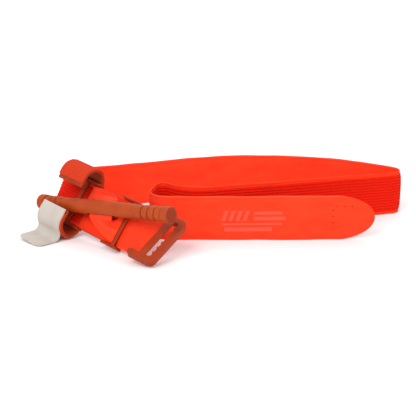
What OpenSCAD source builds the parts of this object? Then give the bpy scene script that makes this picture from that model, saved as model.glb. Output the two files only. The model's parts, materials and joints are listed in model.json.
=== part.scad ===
// Windlass tourniquet: a long three-layer band folded in a zig-zag, standing on its long edge.
// +Z is up, +X runs along the folded band, and the rigid base assembly is at the front left.

/* [Band] */
// Width of the band
band_w = 36; // [32:1:44]
// Thickness of the smooth tape that faces the limb
face_t = 0.7; // [0.5:0.1:1]
// Thickness of the inner tension band
web_t = 0.8; // [0.6:0.1:1.2]
// Width of the inner tension band
web_w = 25; // [18:1:28]
// Thickness of the hook-and-loop tape
hook_tape_t = 1.1; // [0.8:0.1:1.5]
// Gap between two layers of the band
layer_gap = 0.1; // [0.05:0.05:0.2]
// Length of the rear run of the band
back_l = 272; // [225:1:330]
// How much shorter the front run is than the rear run
setback = 76; // [60:1:100]
// Length of the front tail with its rounded tip
tail_l = 165; // [130:1:200]
// Length of the tail's rounded tip
tip_l = 34; // [20:1:45]
// Radius of the fold at the right end
fold_r = 8.3; // [6:0.1:12]

/* [Windlass rod] */
// Length of the rod
rod_l = 143; // [117:1:170]
// Diameter of the barrel at its middle
rod_mid_d = 12.4; // [10.2:0.1:15]
// Diameter of the barrel beside the ribs
rod_neck_d = 11; // [9:0.1:13.3]
// Diameter of the end knobs
knob_d = 12.6; // [10.4:0.1:15.2]
// Length of an end knob
knob_l = 7; // [5:0.5:9]
// Length of one grip rib
rib_l = 5.5; // [4:0.5:7]
// Width and depth of the grooves between ribs
groove = 1; // [0.6:0.1:1.4]
// Length of the slot that holds the tension band
rod_slot_l = 28; // [26:1:34]
// Height of the slot that holds the tension band
rod_slot_h = 3; // [2.4:0.1:4]
// Angle of the rod to the band
rod_angle = 14; // [8:1:16]

/* [Clip and plate] */
// Distance from the rod's middle to the clip
clip_reach = 28.5; // [26:0.5:34]
// Length of the clip along the band
clip_l = 30.5; // [25:0.5:37]
// Wall thickness of the hooks
hook_wall = 1.8; // [1.4:0.1:2.6]
// Outer radius of the hooks
hook_r = 10.6; // [9.4:0.1:12]
// Space between the rod and the roof of the hooks
roof_gap = 0.5; // [0.4:0.1:1.5]
// Gap between the lips of the two hooks
mouth_w = 20.8; // [18:0.1:24]
// Width of the flat roof of each hook
roof_run = 8; // [6:0.1:10]
// Thickness of the plate under the band
plate_t = 1.3; // [1:0.1:2]
// Length of the plate beyond the rod's middle
plate_l = 22; // [20:1:27]
// Length of the keeper's side rails
rail_l = 19.5; // [17:0.5:22]
// Width of the side rails
rail_w = 2; // [1.5:0.1:3]
// Width of the cross bars over the band
bar_w = 3.5; // [2.5:0.1:5]
// Thickness of the cross bars over the band
bar_t = 1.8; // [1.4:0.1:2.5]
// Thickness of the hook-tape patches on the hooks
patch_t = 1.2; // [0.8:0.1:1.6]
// Width of bare plastic left along each lip
lip_w = 3.2; // [2:0.1:4.5]

/* [Buckle] */
// Length of the buckle along the band
buckle_l = 24; // [22:0.5:28]
// Overhang of the buckle's side rails over the opening, at each end
buckle_side = 5.3; // [4:0.1:6.5]
// Corner radius of the buckle
buckle_corner = 5; // [3:0.5:6]
// Diameter of the pin inside the band's end loop
pin_d = 3; // [2.5:0.1:3.6]
// Length of the side rails behind the pin
pin_inset = 7.5; // [6:0.5:8]
// Width of the flat friction bar
friction_w = 6; // [4.5:0.1:7]
// Width of the toothed bar
tooth_bar_w = 5; // [4:0.1:6]
// Radius of one tooth
tooth_r = 1.1; // [0.6:0.1:1.4]
// Distance between two teeth
tooth_pitch = 5.5; // [3.5:0.1:7]
// Thickness of the friction bar
friction_t = 1.4; // [1.2:0.1:2]
// Thickness of the band's end loop
loop_t = 1; // [0.8:0.1:1.2]

/* [Time strap] */
// Width of the time strap
strap_w = 29; // [20:1:30]
// Thickness of the time strap
strap_t = 0.8; // [0.6:0.1:1]
// Length of the strap's free tail
strap_tail_l = 15; // [10:1:30]
// Radius of the strap's bend
strap_bend_r = 5.5; // [4:0.5:7]

/* [Clearances] */
// Gap beside an edge of the band
edge_gap = 0.4; // [0.2:0.1:0.8]
// Gap between pieces that lie on each other
seat_gap = 0.1; // [0.05:0.05:0.2]
// Radial gap between the pin and the loop around it
pin_gap = 0.3; // [0.3:0.1:0.5]
// Height of the rigid pieces above the surface below
floor_gap = 0.5; // [0.3:0.1:2]

/* [Hidden] */

face_colour = [1, 0.3, 0.16];
tape_colour = [0.9, 0.16, 0.07];
plastic_colour = [0.76, 0.3, 0.11];
cream_colour = [0.88, 0.86, 0.81];

// Layers of the band as [low offset, high offset, width]; offsets grow towards the hook-and-loop side
band_t = face_t + web_t + hook_tape_t + 2 * layer_gap;
face_top = face_t - band_t / 2;
web_top = face_top + layer_gap + web_t;
face_layer = [-band_t / 2, face_top, band_w];
web_layer = [face_top + layer_gap, web_top, web_w];
hook_layer = [web_top + layer_gap, band_t / 2, band_w];

// Place of the whole object, so that the origin is under the middle of it
centre_shift = [-5.7, -29.5];

// Runs of the band as arcs [length, turn in degrees], left turns positive
run_start = [-99, 86];
run_heading = 12;
back_arcs = [[0.26 * back_l, 11], [0.4 * back_l, -32], [0.34 * back_l, -30]];
fold_turn = -124;
fold_arcs = [[fold_r * PI * abs(fold_turn) / 180, fold_turn]];
bulge_l = 36;
front_arcs = [[back_l - setback - bulge_l, -4], [bulge_l, -60]];
loop_arcs = [[14, 127], [18, 3], [21, 96]];
tail_arcs = [[tail_l, 3]];
facet_turn = 7;

// Frames of the rigid groups as [origin, lean, dip, yaw]
base_lean = 35;
base_dip = 4;
base_yaw = -48;
under = band_t / 2 + seat_gap + plate_t;
rail_out = band_w / 2 + edge_gap + rail_w;
base_z = floor_gap + plate_l * sin(base_dip)
    + (rail_out * cos(base_lean) + under * sin(base_lean)) * cos(base_dip);
base = [[-74.6, -7.2, base_z], base_lean, base_dip, base_yaw];

buckle_lean = 63;
buckle_dip = 12;
buckle_yaw = -34;
buckle_half = band_w / 2 + edge_gap + buckle_side;
buckle_far = buckle_l - pin_inset;
buckle_z = floor_gap + buckle_far * sin(buckle_dip)
    + (buckle_half * cos(buckle_lean) + pin_d / 2 * sin(buckle_lean)) * cos(buckle_dip);
buckle_frame = [[-41.5, -39.3, buckle_z], buckle_lean, buckle_dip, buckle_yaw];

// Windlass rod: how far its middle lies from the base frame's origin, back, aside and up
rod_back = 3;
rod_side = 4;
rod_lift = 9.6;
rod_z = band_t / 2 + rod_lift;
rod_centre = [-rod_back, rod_side, rod_z];
neck_at = rod_l / 2 - knob_l - 4 * groove - 3 * rib_l;
twist_w = 24;
twist_t = 1.4;

// Clip
clip_near = -clip_reach;
clip_far = -clip_reach - clip_l;
clip_mid = (clip_far + clip_near) / 2;
roof_z = rod_z + max(knob_d, rod_mid_d) / 2 + roof_gap;
hook_top = roof_z + hook_wall;
hook_z = hook_top - hook_r;
hook_v = mouth_w / 2 + roof_run;
foot_in = band_w / 2 + edge_gap;
bar_z = band_t / 2 + seat_gap;
bar_top = bar_z + bar_t;
bar_out = foot_in + rail_w / 2;
keeper_inset = 3.5;
keeper_bar = plate_l - keeper_inset - bar_w;
patch_in = hook_r + seat_gap;
patch_out = patch_in + patch_t;
patch_from = mouth_w / 2 + lip_w;
patch_wrap = -25;
strap_in = patch_out + seat_gap;
strap_mid = strap_in + strap_t / 2;
strap_from = mouth_w / 2;
strap_release = 35;

// Buckle
loop_in = pin_d / 2 + pin_gap;
loop_mid = loop_in + loop_t / 2;
loop_out = loop_in + loop_t;
friction_at = pin_d / 2;
friction_z = loop_out + pin_gap;
buckle_top = friction_z + friction_t;
tooth_margin = 3;

// Base section of the band
clip_slack = 3;
keeper_slack = 2;
base_far = clip_far - clip_slack;
base_near = plate_l + keeper_slack;
bend_reach = 21;

function unit(v) = v / norm(v);
function frame_a(f) = [cos(f[2]) * cos(f[3]), cos(f[2]) * sin(f[3]), -sin(f[2])];
function turn_z(p, a) = [p.x * cos(a) - p.y * sin(a), p.x * sin(a) + p.y * cos(a), p.z];
function frame_c(f) =
    turn_z([cos(f[1]) * sin(f[2]), sin(f[1]), cos(f[1]) * cos(f[2])], f[3]);
function frame_n(f) = cross(frame_a(f), frame_c(f));
function at(f, p) = f[0] + p.x * frame_a(f) + p.y * frame_c(f) + p.z * frame_n(f);

module in_frame(f) {
    translate(f[0]) rotate([90 - f[1], f[2], f[3]]) children();
}

// Extrudes an outline in the across-outward plane along the band, from u0 to u1
module along(u0, u1) {
    translate([u0, 0, 0]) rotate([90, 0, 90]) linear_extrude(u1 - u0) children();
}

module slab(u0, u1, v0, v1, w0, w1) {
    translate([u0, v0, w0]) cube([u1 - u0, v1 - v0, w1 - w0]);
}

// A point on the plan path is [x, y, heading]
function heading_dir(h) = [cos(h), sin(h)];
function arc_step(q, l, t) = t == 0
    ? [q.x + l * cos(q.z), q.y + l * sin(q.z), q.z]
    : let (r = l / (t * PI / 180))
        [q.x + r * (sin(q.z + t) - sin(q.z)), q.y + r * (cos(q.z) - cos(q.z + t)), q.z + t];
function arc_points(q, arc) = let (n = max(1, ceil(abs(arc[1]) / facet_turn)))
    [for (i = [1:n]) arc_step(q, arc[0] * i / n, arc[1] * i / n)];
function walk(q, arcs, i = 0) = i == len(arcs) ? [q]
    : concat([q], let (p = arc_points(q, arcs[i])) concat(
        [for (k = [0:1:len(p) - 2]) p[k]], walk(p[len(p) - 1], arcs, i + 1)));
function last(p) = p[len(p) - 1];

back_path = walk([run_start.x, run_start.y, run_heading], back_arcs);
fold_path = walk(last(back_path), fold_arcs);
front_path = walk(last(fold_path), front_arcs);
loop_path = walk(last(front_path), loop_arcs);
tail_path = walk(last(loop_path), tail_arcs);

function side_point(q, d) = [q.x - d * sin(q.z), q.y + d * cos(q.z)];

module run(path, layer) {
    translate([0, 0, (band_w - layer[2]) / 2]) linear_extrude(layer[2]) polygon(concat(
        [for (q = path) side_point(q, layer[0])],
        [for (i = [len(path) - 1:-1:0]) side_point(path[i], layer[1])]));
}

// The tail's side outline: straight edges and a pointed oval tip, kept to the layer's width
module tail_outline(w) {
    end = last(tail_path);
    tip_x = end.x - tip_l;
    start_x = tail_path[0].x - 5;
    inset = (band_w - w) / 2;
    polygon(concat([[start_x, inset], [tip_x, inset]],
        [for (a = [-84:12:84]) [tip_x + (tip_l - inset) * cos(a), band_w / 2 + w / 2 * sin(a)]],
        [[tip_x, band_w - inset], [start_x, band_w - inset]]));
}

module tail_layer(layer) {
    depth = 40;
    intersection() {
        run(tail_path, layer);
        translate([0, last(tail_path).y + depth, 0]) rotate([90, 0, 0])
            linear_extrude(2 * depth) tail_outline(layer[2]);
    }
}

// A closed strip through a list of rings [centre, up, out, half width, low offset, high offset]
function ring_points(r) = [r[0] + r[4] * r[2] - r[3] * r[1], r[0] + r[5] * r[2] - r[3] * r[1],
    r[0] + r[5] * r[2] + r[3] * r[1], r[0] + r[4] * r[2] + r[3] * r[1]];

module strip(rings) {
    n = len(rings);
    sides = [for (i = [0:n - 2]) for (j = [0:3]) let (k = (j + 1) % 4, a = 4 * i, b = 4 * i + 4)
        each [[a + k, a + j, b + j], [a + k, b + j, b + k]]];
    caps = [[0, 1, 2], [0, 2, 3], [4 * n - 1, 4 * n - 2, 4 * n - 3], [4 * n - 1, 4 * n - 3, 4 * n - 4]];
    polyhedron(points = [for (r = rings) each ring_points(r)], faces = concat(sides, caps));
}

function curve(p, t) = pow(1 - t, 3) * p[0] + 3 * t * pow(1 - t, 2) * p[1]
    + 3 * t * t * (1 - t) * p[2] + pow(t, 3) * p[3];
function curve_dir(p, t) = unit(pow(1 - t, 2) * (p[1] - p[0]) + 2 * t * (1 - t) * (p[2] - p[1])
    + t * t * (p[3] - p[2]));
function ease(t) = t * t * (3 - 2 * t);
function square_up(up, dir) = unit(up - (up * dir) * dir);
function curve_ring(p, t, up0, up1, half, d0, d1) =
    let (dir = curve_dir(p, t), up = square_up((1 - ease(t)) * up0 + ease(t) * up1, dir))
        [curve(p, t), up, cross(up, dir), half, d0, d1];

// The bend at the left end, from the leaning base section to the upright rear run
bend_start = at(base, [base_far, 0, 0]);
bend_end = [run_start.x, run_start.y, band_w / 2];
run_dir = [cos(run_heading), sin(run_heading), 0];
bend_curve = [bend_start, bend_start - bend_reach * frame_a(base), bend_end - bend_reach * run_dir,
    bend_end];
bend_steps = 20;

// The middle layer thins by bend_relief halfway round, where the band twists upright
bend_relief = 0.15;
module bend_layer(layer, relief = 0) {
    strip([for (i = [0:bend_steps]) let (t = i / bend_steps, slack = relief * sin(180 * t))
        curve_ring(bend_curve, t, frame_c(base), [0, 0, 1], layer[2] / 2,
            layer[0] + slack, layer[1] - slack)]);
}

module base_layer(layer) {
    in_frame(base) slab(base_far, base_near, -layer[2] / 2, layer[2] / 2, layer[0], layer[1]);
}

// The rod's profile, as [radius, distance from the middle], for one half
neck_steps = 8;
function barrel_r(s) = rod_neck_d / 2 + (rod_mid_d - rod_neck_d) / 2 * (0.5 + 0.5 * cos(180 * s));
barrel = [for (i = [0:neck_steps]) [barrel_r(i / neck_steps), neck_at * i / neck_steps]];
rib_r = (rod_neck_d + knob_d) / 4;
groove_r = rod_neck_d / 2 - groove;
function rib_points(z) = [[groove_r, z], [groove_r, z + groove], [rib_r - 0.3, z + groove],
    [rib_r, z + groove + rib_l / 3], [rib_r, z + groove + 2 * rib_l / 3],
    [rib_r - 0.3, z + groove + rib_l]];
ribs = [for (k = [0:2]) each rib_points(neck_at + k * (rib_l + groove))];
knob_at = neck_at + 3 * (rib_l + groove);
knob_bevel = 0.8;
knob = [[groove_r, knob_at], [groove_r, knob_at + groove], [knob_d / 2 - knob_bevel / 2, knob_at + groove],
    [knob_d / 2, knob_at + groove + knob_bevel], [knob_d / 2, rod_l / 2 - knob_bevel],
    [knob_d / 2 - knob_bevel, rod_l / 2], [0, rod_l / 2]];

module rod_half() {
    rotate_extrude($fn = 64) polygon(concat([[0, 0]], barrel, ribs, knob));
}

module in_rod_frame() {
    in_frame(base) translate(rod_centre) rotate([0, 0, rod_angle]) children();
}

module windlass_rod() {
    through = 2 * rod_mid_d;
    color(plastic_colour) in_rod_frame() difference() {
        rotate([0, 90, 0]) union() {
            rod_half();
            mirror([0, 0, 1]) rod_half();
        }
        slab(-rod_slot_l / 2, rod_slot_l / 2, -through, through, -rod_slot_h / 2, rod_slot_h / 2);
        for (s = [-1, 1]) translate([s * rod_slot_l / 2, 0, 0]) rotate([90, 0, 0])
            cylinder(d = rod_slot_h, h = 2 * through, center = true, $fn = 32);
    }
}

// One C-shaped hook in section, opening towards the middle of the band
module hook_section() {
    inner_r = hook_r - hook_wall;
    difference() {
        union() {
            translate([hook_v, hook_z]) circle(r = hook_r, $fn = 72);
            translate([mouth_w / 2, hook_z]) square([roof_run, hook_r]);
        }
        translate([hook_v, hook_z]) circle(r = inner_r, $fn = 72);
        translate([0, hook_z]) square([hook_v, roof_z - hook_z]);
        translate([0, hook_z - hook_r]) square([foot_in, hook_r]);
    }
    translate([foot_in, -under]) square([rail_w, under + bar_top]);
}

module cross_bar(from) {
    slab(from, from + bar_w, -bar_out, bar_out, bar_z, bar_top);
}

module windlass_clip() {
    color(plastic_colour) in_frame(base) {
        along(clip_far, clip_near) {
            hook_section();
            mirror([1, 0]) hook_section();
            translate([-rail_out, -under]) square([2 * rail_out, plate_t]);
        }
        cross_bar(clip_mid - bar_w / 2);
    }
}

module stabiliser_plate() {
    color(plastic_colour) in_frame(base) {
        slab(clip_near, plate_l, -foot_in, foot_in, -under, plate_t - under);
        for (s = [-1, 1]) mirror([0, (1 - s) / 2, 0])
            slab(plate_l - rail_l, plate_l, foot_in, rail_out, -under, bar_top);
        cross_bar(keeper_bar);
    }
}

// Points of a skin wrapped over a hook, from the lip side round to an angle
wrap_step = 5;
function wrap_arc(r, to) = [for (a = [90:-wrap_step:to]) [hook_v + r * cos(a), hook_z + r * sin(a)]];
function reverse(p) = [for (i = [len(p) - 1:-1:0]) p[i]];
module wrap(r0, r1, from, to) {
    polygon(concat([[from, hook_z + r0], [from, hook_z + r1]], wrap_arc(r1, to),
        reverse(wrap_arc(r0, to))));
}

module hook_patch() {
    color(tape_colour) along(clip_far, clip_near) wrap(patch_in, patch_out, patch_from, patch_wrap);
}
module hook_patch_upper() { in_frame(base) hook_patch(); }
module hook_patch_lower() { in_frame(base) mirror([0, 1, 0]) hook_patch(); }

// The time strap, on the lower hook, in the mirrored section plane
strap_far = clip_mid - strap_w / 2;
strap_near = clip_mid + strap_w / 2;
release_dir = strap_release - 90;
release = [hook_v + strap_mid * cos(strap_release), hook_z + strap_mid * sin(strap_release)];
bend_centre = release + strap_bend_r * heading_dir(strap_release);
strap_turn = 90 - base_lean - release_dir;
tail_from = bend_centre + strap_bend_r * heading_dir(release_dir - 90 + strap_turn);
tail_dir = heading_dir(90 - base_lean);

module on_lower_hook() {
    color(cream_colour) in_frame(base) mirror([0, 1, 0]) along(strap_far, strap_near) children();
}
module time_strap_patch() { on_lower_hook() wrap(strap_in, strap_in + strap_t, strap_from, strap_release); }
module time_strap_bend() {
    angles = [for (i = [0:12]) release_dir - 90 + strap_turn * i / 12];
    r0 = strap_bend_r - strap_t / 2;
    r1 = strap_bend_r + strap_t / 2;
    on_lower_hook() polygon(concat([for (a = angles) bend_centre + r0 * heading_dir(a)],
        reverse([for (a = angles) bend_centre + r1 * heading_dir(a)])));
}
module time_strap_tail() {
    thick = strap_t / 2 * [-tail_dir.y, tail_dir.x];
    end = tail_from + strap_tail_l * tail_dir;
    on_lower_hook() polygon([tail_from - thick, end - thick, end + thick, tail_from + thick]);
}

// The buckle lies in its own frame: the pin's axis is the origin line, the slot is beyond the friction bar
module buckle_outline() {
    r = buckle_corner;
    x0 = -pin_inset;
    union() {
        translate([x0 + r, -buckle_half]) square([buckle_l - 2 * r, 2 * buckle_half]);
        translate([x0, r - buckle_half]) square([buckle_l, 2 * (buckle_half - r)]);
        for (x = [x0 + r, buckle_far - r]) for (s = [-1, 1])
            translate([x, s * (buckle_half - r)]) circle(r = r, $fn = 48);
    }
}

module buckle() {
    inner = band_w / 2 + edge_gap;
    tooth_bar_at = buckle_far - tooth_bar_w;
    teeth = floor(2 * (inner - tooth_margin) / tooth_pitch);
    color(plastic_colour) in_frame(buckle_frame) {
        difference() {
            translate([0, 0, -pin_d / 2]) linear_extrude(buckle_top + pin_d / 2) buckle_outline();
            slab(-pin_inset - 1, tooth_bar_at, -inner, inner, -pin_d, buckle_top + 1);
        }
        slab(friction_at, friction_at + friction_w, -inner - 1, inner + 1, friction_z, buckle_top);
        rotate([90, 0, 0]) cylinder(d = pin_d, h = 2 * inner + 2, center = true, $fn = 48);
        for (i = [0:teeth]) translate([tooth_bar_at, (i - teeth / 2) * tooth_pitch, -pin_d / 2])
            cylinder(r = tooth_r, h = buckle_top + pin_d / 2, $fn = 24);
    }
}

// The band's end loop: over the top to the pin, round it and back underneath
loop_steps = 8;
loop_lift = layer_gap / 2 + loop_t / 2;
leg_reach = 6;
top_start = at(base, [base_near, 0, loop_lift]);
low_end = at(base, [base_near, 0, -loop_lift]);
top_end = at(buckle_frame, [0, 0, loop_mid]);
low_start = at(buckle_frame, [0, 0, -loop_mid]);
top_leg = [top_start, top_start + leg_reach * frame_a(base),
    top_end - leg_reach * frame_a(buckle_frame), top_end];
low_leg = [low_start, low_start - leg_reach * frame_a(buckle_frame),
    low_end + leg_reach * frame_a(base), low_end];
function turn_ring(a) = let (out = cos(a) * frame_n(buckle_frame) + sin(a) * frame_a(buckle_frame))
    [at(buckle_frame, [loop_mid * sin(a), 0, loop_mid * cos(a)]), frame_c(buckle_frame), -out,
        band_w / 2, -loop_t / 2, loop_t / 2];

module buckle_loop() {
    base_up = frame_c(base);
    pin_up = frame_c(buckle_frame);
    half = band_w / 2;
    color(face_colour) strip(concat(
        [for (i = [0:loop_steps - 1]) curve_ring(top_leg, i / loop_steps, base_up, pin_up, half,
            -loop_t / 2, loop_t / 2)],
        [for (a = [0:15:180]) turn_ring(a)],
        [for (i = [1:loop_steps]) curve_ring(low_leg, i / loop_steps, pin_up, base_up, half,
            -loop_t / 2, loop_t / 2)]));
}

// The bare tension band: from the clip up through the rod's slot and down to the keeper
twist_steps = 8;
twist_side = 9;
twist_lift = bar_z + twist_t / 2 + seat_gap;
twist_reach = 10;
rod_edge = 0.85 * rod_mid_d;
bunch_w = 12;
twist_pinch = 0.2;
twist_overlap = 4.5;
twist_run = 12;
keeper_run = 5;
twist_rise = 1;
twist_from = [clip_near - twist_overlap, twist_side, twist_lift];
twist_to = [keeper_bar - keeper_slack, -twist_side, twist_lift];
rod_along = [cos(rod_angle), sin(rod_angle), 0];
rod_across = [-sin(rod_angle), cos(rod_angle), 0];
slot_in = rod_centre + rod_edge * rod_across;
slot_out = rod_centre - rod_edge * rod_across;
rise = [twist_from, twist_from + [twist_run, 0, twist_rise], slot_in + twist_reach * rod_across, slot_in];
fall = [slot_out, slot_out - twist_reach * rod_across, twist_to + [-keeper_run, 0, twist_rise], twist_to];
function twist_half(t) = (bunch_w + (twist_w - bunch_w) * t) / 2 * (1 - twist_pinch * sin(180 * t));

module tension_band_twist() {
    lie = [0, 1, 0];
    color(face_colour) in_frame(base) strip(concat(
        [for (i = [0:twist_steps]) let (t = i / twist_steps)
            curve_ring(rise, t, lie, rod_along, twist_half(t), -twist_t / 2, twist_t / 2)],
        [for (i = [0:twist_steps]) let (t = i / twist_steps)
            curve_ring(fall, t, rod_along, lie, twist_half(1 - t), -twist_t / 2, twist_t / 2)]));
}

module face_tape_base() { color(face_colour) base_layer(face_layer); }
module face_tape_bend() { color(face_colour) bend_layer(face_layer); }
module face_tape_back() { color(face_colour) run(back_path, face_layer); }
module face_tape_fold() { color(face_colour) run(fold_path, face_layer); }
module face_tape_front() { color(face_colour) run(front_path, face_layer); }
module face_tape_loop() { color(face_colour) run(loop_path, face_layer); }
module face_tape_tail() { color(face_colour) tail_layer(face_layer); }
module tension_band_base() { color(face_colour) base_layer(web_layer); }
module tension_band_bend() { color(face_colour) bend_layer(web_layer, bend_relief); }
module tension_band_back() { color(face_colour) run(back_path, web_layer); }
module tension_band_fold() { color(face_colour) run(fold_path, web_layer); }
module tension_band_front() { color(face_colour) run(front_path, web_layer); }
module tension_band_loop() { color(face_colour) run(loop_path, web_layer); }
module tension_band_tail() { color(face_colour) tail_layer(web_layer); }
module hook_tape_base() { color(tape_colour) base_layer(hook_layer); }
module hook_tape_bend() { color(tape_colour) bend_layer(hook_layer); }
module hook_tape_back() { color(tape_colour) run(back_path, hook_layer); }
module hook_tape_fold() { color(tape_colour) run(fold_path, hook_layer); }
module hook_tape_front() { color(tape_colour) run(front_path, hook_layer); }
module hook_tape_loop() { color(tape_colour) run(loop_path, hook_layer); }
module hook_tape_tail() { color(tape_colour) tail_layer(hook_layer); }

module placed() { translate([centre_shift.x, centre_shift.y, 0]) children(); }

placed() windlass_rod();
placed() windlass_clip();
placed() stabiliser_plate();
placed() buckle();
placed() hook_patch_upper();
placed() hook_patch_lower();
placed() time_strap_patch();
placed() time_strap_bend();
placed() time_strap_tail();
placed() buckle_loop();
placed() tension_band_twist();
placed() face_tape_base();
placed() face_tape_bend();
placed() face_tape_back();
placed() face_tape_fold();
placed() face_tape_front();
placed() face_tape_loop();
placed() face_tape_tail();
placed() tension_band_base();
placed() tension_band_bend();
placed() tension_band_back();
placed() tension_band_fold();
placed() tension_band_front();
placed() tension_band_loop();
placed() tension_band_tail();
placed() hook_tape_base();
placed() hook_tape_bend();
placed() hook_tape_back();
placed() hook_tape_fold();
placed() hook_tape_front();
placed() hook_tape_loop();
placed() hook_tape_tail();
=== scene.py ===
import json
import math

import bmesh
import bpy
import numpy as np
from mathutils import Matrix, Vector

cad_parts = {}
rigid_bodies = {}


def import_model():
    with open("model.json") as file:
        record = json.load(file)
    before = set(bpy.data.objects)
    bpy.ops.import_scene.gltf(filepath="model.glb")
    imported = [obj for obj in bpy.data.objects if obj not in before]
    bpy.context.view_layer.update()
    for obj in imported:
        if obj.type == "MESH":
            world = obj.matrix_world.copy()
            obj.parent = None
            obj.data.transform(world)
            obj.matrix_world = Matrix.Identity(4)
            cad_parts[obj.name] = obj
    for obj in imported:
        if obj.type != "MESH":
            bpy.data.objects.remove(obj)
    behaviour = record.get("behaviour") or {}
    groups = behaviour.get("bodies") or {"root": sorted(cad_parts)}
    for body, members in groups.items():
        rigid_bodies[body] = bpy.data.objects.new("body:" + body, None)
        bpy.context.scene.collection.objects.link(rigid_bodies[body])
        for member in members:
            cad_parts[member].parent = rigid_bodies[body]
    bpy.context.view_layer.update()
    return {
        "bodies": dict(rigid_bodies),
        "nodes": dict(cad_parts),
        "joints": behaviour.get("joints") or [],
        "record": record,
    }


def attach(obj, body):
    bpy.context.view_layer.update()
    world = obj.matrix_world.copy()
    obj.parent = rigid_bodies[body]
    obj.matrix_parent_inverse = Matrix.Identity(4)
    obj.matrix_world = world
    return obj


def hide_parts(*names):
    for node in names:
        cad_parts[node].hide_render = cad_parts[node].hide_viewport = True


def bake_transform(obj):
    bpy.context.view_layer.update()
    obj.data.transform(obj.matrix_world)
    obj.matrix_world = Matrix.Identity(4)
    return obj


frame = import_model()

# Sizes are in millimetres, as in the part's own drawing, and become metres when a mesh is made.
MM = 0.001
SHIFT = np.array([-5.7, -29.5, 0.0])

# Band
BAND_W = 36.0
FACE_OUT, FACE_IN = -1.4, -0.7
HOOK_IN, HOOK_OUT = 0.3, 1.4
ROW_PITCH, ROW_FIELD = 2.4, 15.2
STITCH_IN = 1.7
BARE_L = 56.0
TIP_L = 34.0
BASE_NEAR, BASE_FAR = 24.0, -62.0
BEND_REACH = 21.0
RUN_START = (-99.0, 86.0)
RUN_HEADING = 12.0
FOLD_R = 8.3
FOLD_TURN = 124.0
FOLD_L = math.radians(FOLD_TURN) * FOLD_R
BACK_ARCS = [(70.72, 11.0), (108.8, -32.0), (92.48, -30.0)]
FOLD_ARCS = [(FOLD_L, -FOLD_TURN)]
FRONT_ARCS = [(160.0, -4.0), (36.0, -60.0)]
LOOP_ARCS = [(14.0, 127.0), (18.0, 3.0), (21.0, 96.0)]
TAIL_ARCS = [(165.0, 3.0)]

# Rod
ROD_L, ROD_MID_R, ROD_NECK_R = 143.0, 6.2, 5.5
KNOB_R, KNOB_L = 6.3, 7.0
RIB_L, GROOVE = 5.5, 1.0
ROD_SLOT_L, ROD_SLOT_H = 28.0, 3.0
ROD_CENTRE = np.array([-3.0, 4.0, 11.0])
ROD_ANGLE = 14.0

# Clip, plate and keeper, in the base frame as (along, across, outward)
CLIP_NEAR, CLIP_MID, CLIP_FAR = -28.5, -43.75, -59.0
HOOK_V, HOOK_Z, HOOK_R, HOOK_WALL = 18.4, 9.0, 10.6, 1.8
LIP_V = 10.4
FOOT_IN, RAIL_OUT = 18.4, 20.4
UNDER, PLATE_TOP = -2.8, -1.5
BAR_Z, BAR_TOP, BAR_W = 1.5, 3.3, 3.5
PLATE_L, RAIL_L, KEEPER_BAR = 22.0, 19.5, 15.0
PATCH_IN, PATCH_OUT, PATCH_WRAP = 10.7, 11.9, -25.0
LIP_BARE = 3.2

# Time strap
STRAP_IN, STRAP_OUT, STRAP_W = 12.0, 12.8, 29.0
STRAP_RELEASE, STRAP_TURN, STRAP_BEND_R, STRAP_TAIL = 35.0, 110.0, 5.5, 15.0

# Buckle, in its own frame
BUCKLE_NEAR, BUCKLE_FAR, BUCKLE_HALF, BUCKLE_CORNER = -7.5, 16.5, 23.7, 5.0
PIN_R, BUCKLE_INNER, BUCKLE_TOP = 1.5, 18.4, 4.5
FRICTION_AT, FRICTION_W, FRICTION_Z = 1.5, 6.0, 3.1
TOOTH_BAR_AT, TOOTH_PITCH, TOOTH_R = 11.5, 5.5, 1.1
SLEEVE_W, SLEEVE_MID, SLEEVE_T = 36.0, 2.3, 1.0

# Bare tension band: its height over the base section, its entry into the slot and its half width there
FAN_LOW, FAN_EDGE, FAN_HALF = 2.6, 7.2, 12.0


# ---- Frames and paths -------------------------------------------------------

def unit(v):
    return np.asarray(v, float) / np.linalg.norm(v)


class Group:
    """The frame of a rigid group: a runs along it, c across it and n out of it."""

    def __init__(self, origin, lean, dip, yaw):
        lean, dip, yaw = (math.radians(x) for x in (lean, dip, yaw))
        turn = np.array([[math.cos(yaw), -math.sin(yaw), 0], [math.sin(yaw), math.cos(yaw), 0], [0, 0, 1]])
        self.origin = np.array(origin)
        self.a = turn @ [math.cos(dip), 0, -math.sin(dip)]
        self.c = turn @ [math.cos(lean) * math.sin(dip), math.sin(lean), math.cos(lean) * math.cos(dip)]
        self.n = np.cross(self.a, self.c)

    def at(self, p):
        p = np.asarray(p, float)
        return self.origin + p @ np.array([self.a, self.c, self.n])

    def turned(self, v):
        return np.asarray(v, float) @ np.array([self.a, self.c, self.n])


def rest_height(half, depth, far, lean, dip, gap=0.5):
    """Height of a leaning group's origin above the surface below."""
    lean, dip = math.radians(lean), math.radians(dip)
    return gap + far * math.sin(dip) + (half * math.cos(lean) + depth * math.sin(lean)) * math.cos(dip)


BASE = Group((-74.6, -7.2, rest_height(RAIL_OUT, -UNDER, PLATE_L, 35, 4)), 35, 4, -48)
BUCKLE = Group((-41.5, -39.3, rest_height(BUCKLE_HALF, PIN_R, BUCKLE_FAR, 63, 12)), 63, 12, -34)


def row(p):
    """A point of the drawing, in metres, in the shared frame."""
    return tuple((np.asarray(p, float) + SHIFT) * MM)


def heading(deg):
    return np.array([math.cos(math.radians(deg)), math.sin(math.radians(deg)), 0.0])


def bezier(p, t):
    return ((1 - t) ** 3 * p[0] + 3 * t * (1 - t) ** 2 * p[1] + 3 * t * t * (1 - t) * p[2] + t ** 3 * p[3])


def bezier_way(p, t):
    return unit((1 - t) ** 2 * (p[1] - p[0]) + 2 * t * (1 - t) * (p[2] - p[1]) + t * t * (p[3] - p[2]))


def ease(t):
    t = np.clip(t, 0, 1)
    return t * t * (3 - 2 * t)


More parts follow.
